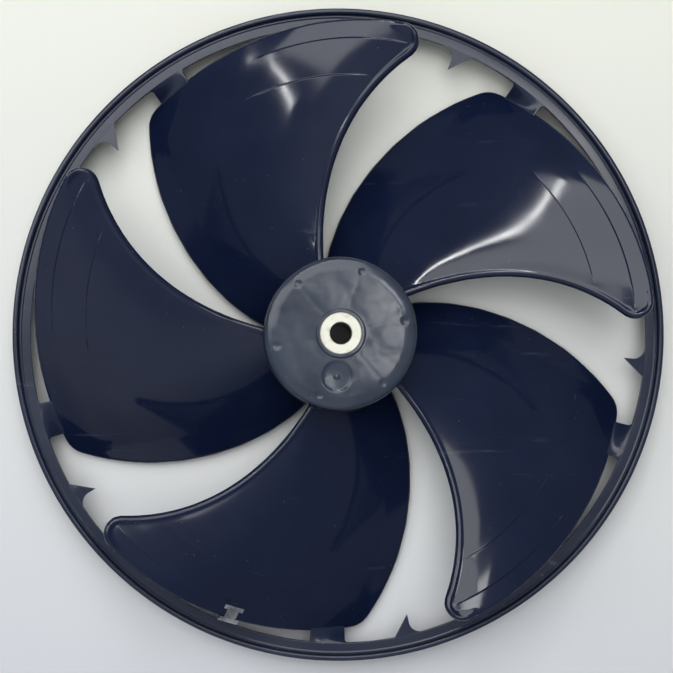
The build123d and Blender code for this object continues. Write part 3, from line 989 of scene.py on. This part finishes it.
def make_hub():
    """Cup with a rounded shoulder, collar and boss, the marks of its moulding and the key hole."""
    collar = BUSH_RADIUS + COLLAR_WALL
    inside = HUB_RADIUS - HUB_WALL
    under = HUB_RISE - HUB_FACE
    boss = BUSH_RADIUS + BOSS_WALL
    boss_bottom = under - BOSS_DEPTH
    outline = round_corners([
        (HUB_RADIUS, HUB_BOTTOM, 0.5),
        (HUB_RADIUS, HUB_RISE - CROWN_DROP, HUB_SHOULDER),
        (CROWN_START, HUB_RISE, CROWN_RADIUS),
        (collar, HUB_RISE, 0.5),
        (collar, HUB_RISE + COLLAR_RISE, 0.5),
        (BUSH_RADIUS + 0.02, HUB_RISE + COLLAR_RISE, 0.2),
        (BUSH_RADIUS + 0.02, boss_bottom, 0.2),
        (boss, boss_bottom, 0.4),
        (boss, under, 1.2),
        (inside, under, 1.2),
        (inside, HUB_BOTTOM, 0.5),
    ], steps=12)
    outline = fill_run(outline, BUSH_RADIUS, HUB_RADIUS, HUB_RISE, 0.4)
    points = lathe_points(outline, HUB_SEGMENTS)
    reach = np.hypot(points[..., 0], points[..., 1])
    face = (points[..., 2] > HUB_RISE - 1.2) & (reach > collar + 0.4)
    points[..., 2] -= np.where(face, hub_marks(points[..., 0], points[..., 1]), 0.0)
    piece = lathe_piece("hub_cup", points)
    return cut_tool_hole(piece)


def cut_tool_hole(piece):
    """Round hole through the hub's wall for the grub screw's key."""
    bpy.ops.mesh.primitive_cylinder_add(
        vertices=TOOL_HOLE_SIDES, radius=TOOL_HOLE_RADIUS * MM, depth=CUTTER_LENGTH * MM)
    cutter = bpy.context.object
    place = polar(HUB_RADIUS - HUB_WALL / 2, TOOL_HOLE_ANGLE) * MM
    lie_down = Matrix.Rotation(radians(TOOL_HOLE_ANGLE), 4, "Z") @ Matrix.Rotation(pi / 2, 4, "Y")
    cutter.matrix_world = Matrix.Translation((*place, TOOL_HOLE_HEIGHT * MM)) @ lie_down
    modifier = piece.modifiers.new("key_hole", "BOOLEAN")
    modifier.object = cutter
    modifier.operation = "DIFFERENCE"
    modifier.solver = "EXACT"
    bpy.context.view_layer.update()
    settle(piece)
    bpy.data.objects.remove(cutter)
    piece.data.materials.clear()
    piece.data.materials.append(HUB_PLASTIC)
    for polygon in piece.data.polygons:
        polygon.material_index = 0
        polygon.use_smooth = True
    return piece


def make_ribs():
    """Webs under the hub face, from the boss to the wall."""
    inner, outer = BUSH_RADIUS + BOSS_WALL - 1, HUB_RADIUS - HUB_WALL / 2
    top = HUB_RISE - 1
    section = [(inner, top), (outer, top), (outer, HUB_RISE - RIB_DROPS[1]), (inner, HUB_RISE - RIB_DROPS[0])]
    half = RIB_THICKNESS / 2
    points = [(x, -half, z) for x, z in section] + [(x, half, z) for x, z in section]
    faces = [[3, 2, 1, 0], [4, 5, 6, 7]] + [[k, (k + 1) % 4, 4 + (k + 1) % 4, 4 + k] for k in range(4)]
    piece = make_piece("hub_ribs", points, faces)
    bevel = piece.modifiers.new("soft_edges", "BEVEL")
    bevel.width = 0.4 * MM
    bevel.segments = 3
    bevel.harden_normals = True
    settle(piece)
    return repeat_round_axis(piece, RIB_COUNT, RIB_START, HUB_PLASTIC)


# ================= stage =================

def make_camera():
    data = bpy.data.cameras.new("camera")
    data.lens = CAMERA_LENS
    data.sensor_width = SENSOR_WIDTH
    data.shift_x, data.shift_y = CAMERA_SHIFT
    data.clip_start = 0.01
    camera = bpy.data.objects.new("camera", data)
    tilt = Matrix.Rotation(CAMERA_TILT[0], 3, "X") @ Matrix.Rotation(CAMERA_TILT[1], 3, "Y")
    camera.matrix_world = Matrix.Translation(Vector(CAMERA_PLACE) * MM) @ tilt.transposed().to_4x4()
    bpy.context.scene.collection.objects.link(camera)
    bpy.context.scene.camera = camera


def make_floor():
    half = TABLE_HALF
    corners = [(-half, -half, 0), (half, -half, 0), (half, half, 0), (-half, half, 0)]
    piece = make_piece("table", corners, [[0, 1, 2, 3]])
    piece.data.materials.append(table_paper())


def add_lamp(name, place, size, power, target=None, in_reflections=True):
    """Rectangular lamp in metres and watts; it shines straight down unless it has a target."""
    data = bpy.data.lights.new(name, "AREA")
    data.shape = "RECTANGLE"
    data.size, data.size_y = size
    data.energy = power
    lamp = bpy.data.objects.new(name, data)
    lamp.location = place
    if target:
        lamp.rotation_euler = (Vector(target) - Vector(place)).to_track_quat("-Z", "Y").to_euler()
    lamp.visible_glossy = in_reflections
    bpy.context.scene.collection.objects.link(lamp)
    return lamp


def add_glow(tree, direction, below, heading, height, spread, colour):
    """Adds a soft patch of brightness to the room's colour, at a heading and height in degrees."""
    axis = (*(polar(1.0, heading) * cos(radians(height))), sin(radians(height)))
    along = add_node(tree, "ShaderNodeVectorMath", {0: direction, 1: axis}, operation="DOT_PRODUCT")
    edge = cos(radians(spread))
    share = between(tree, along.outputs["Value"], edge, 1.0, interpolation_type="SMOOTHSTEP")
    mix = add_node(tree, "ShaderNodeMix", {0: share, 6: below, 7: colour}, data_type="RGBA")
    mix.blend_type = "ADD"
    return mix.outputs[2]


def make_room():
    """World light: dark walls and a dim ceiling that brightens overhead."""
    world = bpy.data.worlds.new("room")
    bpy.context.scene.world = world
    world.use_nodes = True
    tree = world.node_tree
    direction = add_node(tree, "ShaderNodeTexCoord").outputs["Generated"]
    up = add_node(tree, "ShaderNodeSeparateXYZ", {0: direction}).outputs["Z"]
    overhead = between(tree, up, 0.8, 1.0, interpolation_type="SMOOTHSTEP")
    colour = blend_colours(tree, overhead, CEILING_DIM, CEILING_BRIGHT)
    walls = between(tree, up, 0.45, 0.1, interpolation_type="SMOOTHSTEP")
    colour = blend_colours(tree, walls, colour, WALL_DARK)
    colour = add_glow(tree, direction, colour, GLOW_HEADING, GLOW_HEIGHT, GLOW_SPREAD, GLOW_COLOUR)
    tree.links.new(colour, tree.nodes["Background"].inputs["Color"])


def make_lights():
    for name, place, size, power in SOFT_LAMPS:
        add_lamp(name, place, size, power, target=(0, 0, 0), in_reflections=False)
    for name, place, size, power, turn in GLOSS_LAMPS:
        add_lamp(name, place, size, power).rotation_euler.z = radians(turn)


def dress_node(name, material):
    """Gives a CAD node its finish and leaves its mesh alone."""
    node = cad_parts[name]
    node.data.materials.clear()
    node.data.materials.append(material)


bpy.context.scene.view_settings.view_transform = "Standard"
make_camera()
make_lights()
make_room()
make_floor()

for plastic_piece in (make_blades(), make_ring(), make_tabs(), make_hooks(), make_hub(), make_ribs()):
    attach(plastic_piece, "root")
    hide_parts("impeller")

dress_node("hub_bush", turned_aluminium())
dress_node("set_screw", plain_steel("screw_steel", SCREW_BRIGHT, SCREW_DULL, 0.4))
dress_node("balance_clip", plain_steel("clip_steel", CLIP_BRIGHT, CLIP_DULL, 0.42))
